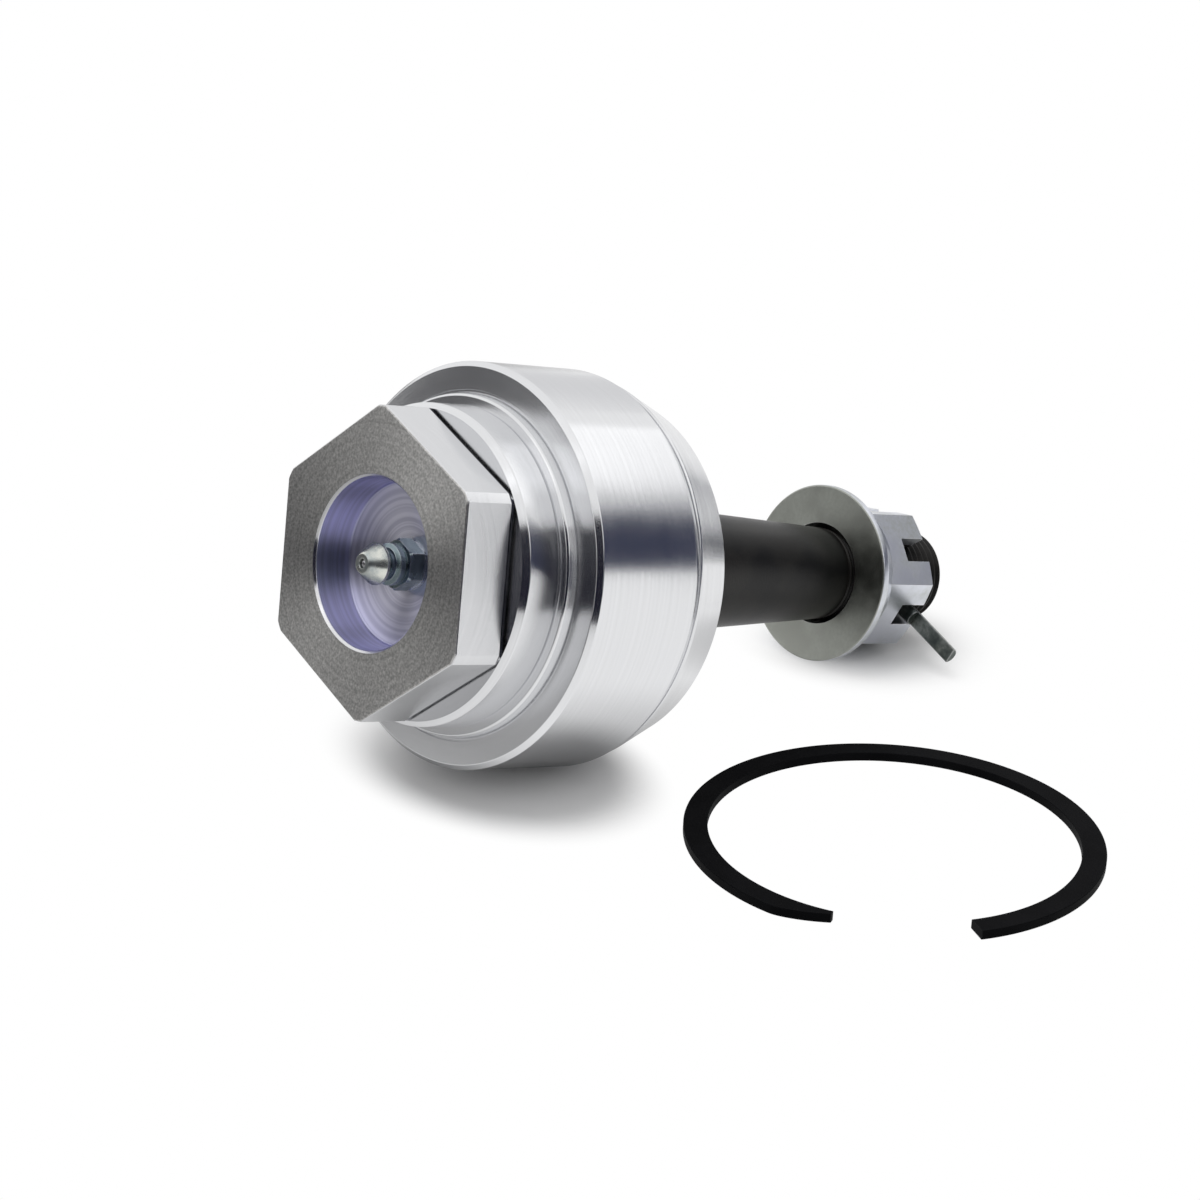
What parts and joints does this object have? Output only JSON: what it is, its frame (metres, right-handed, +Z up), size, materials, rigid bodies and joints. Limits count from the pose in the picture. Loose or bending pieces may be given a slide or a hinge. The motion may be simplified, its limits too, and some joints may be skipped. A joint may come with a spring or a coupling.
{
  "type": "suspension ball joint",
  "caption": "Press-in suspension ball joint: turned housing with a hexagonal greased cap, tapered ball stud with castle nut and cotter pin, dust boot and loose snap ring.",
  "frame": {"origin": "centre of the ball, on the axis of the pressed housing diameter", "axes": "+X level towards the castle nut, +Z up with the joint lying on its side as pictured; the joint's own axis dips 13.892 degrees below +X"},
  "size_m": [0.1307, 0.1244, 0.0669],
  "materials": {
    "turned_steel": "fine turned, bright",
    "zinc_plated_steel": "bright zinc plated",
    "phosphated_steel": "dark phosphate, satin",
    "fitting_steel": "zinc plated, pale yellow cast",
    "pin_steel": "dull zinc",
    "clip_steel": "bright band steel",
    "spring_steel": "oiled spring steel",
    "bearing_steel": "ground and greased",
    "black_oxide_steel": "black oxide, satin",
    "boot_rubber": "matt moulded rubber",
    "seal_rubber": "smooth moulded rubber",
    "bush_plastic": "natural moulded plastic"
  },
  "bodies": {
    "housing": {"housing": "turned_steel", "threaded_cap": "turned_steel", "cap_seal_ring": "seal_rubber", "preload_shim": "spring_steel", "disc_spring_1": "spring_steel", "disc_spring_2": "spring_steel", "pressure_plate": "bearing_steel", "upper_seat": "bearing_steel", "lower_seat": "bearing_steel", "boot_base_clip": "clip_steel", "grease_fitting": "fitting_steel", "fitting_spring": "spring_steel", "snap_ring": "black_oxide_steel"},
    "boot": {"dust_boot": "boot_rubber"},
    "boot_neck": {"boot_neck_clip": "clip_steel", "boot_neck_bush": "bush_plastic"},
    "stud": {"ball_stud": "phosphated_steel", "castle_nut": "zinc_plated_steel", "cotter_pin": "pin_steel"},
    "check_valve": {"fitting_check_ball": "bearing_steel"}
  },
  "joints": [
    {"name": "swing_pitch", "type": "hinge", "parent": "housing", "child": "boot", "pos_m": [0, 0, 0], "axis": [0, 1, 0], "range_deg": [-18, 18], "deforming": ["dust_boot"]},
    {"name": "swing_yaw", "type": "hinge", "parent": "boot", "child": "boot_neck", "pos_m": [0, 0, 0], "axis": [0.2401, 0, 0.9707], "range_deg": [-18, 18], "deforming": ["dust_boot"]},
    {"name": "stud_spin", "type": "hinge", "parent": "boot_neck", "child": "stud", "pos_m": [0, 0, 0], "axis": [0.9707, 0, -0.2401], "continuous": true},
    {"name": "check_ball_lift", "type": "slide", "parent": "housing", "child": "check_valve", "axis": [0.9707, 0, -0.2401], "range_m": [0, 0.0008], "stiffness_N_per_m": 100, "springref_m": -0.001, "deforming": ["fitting_spring"]}
  ]
}
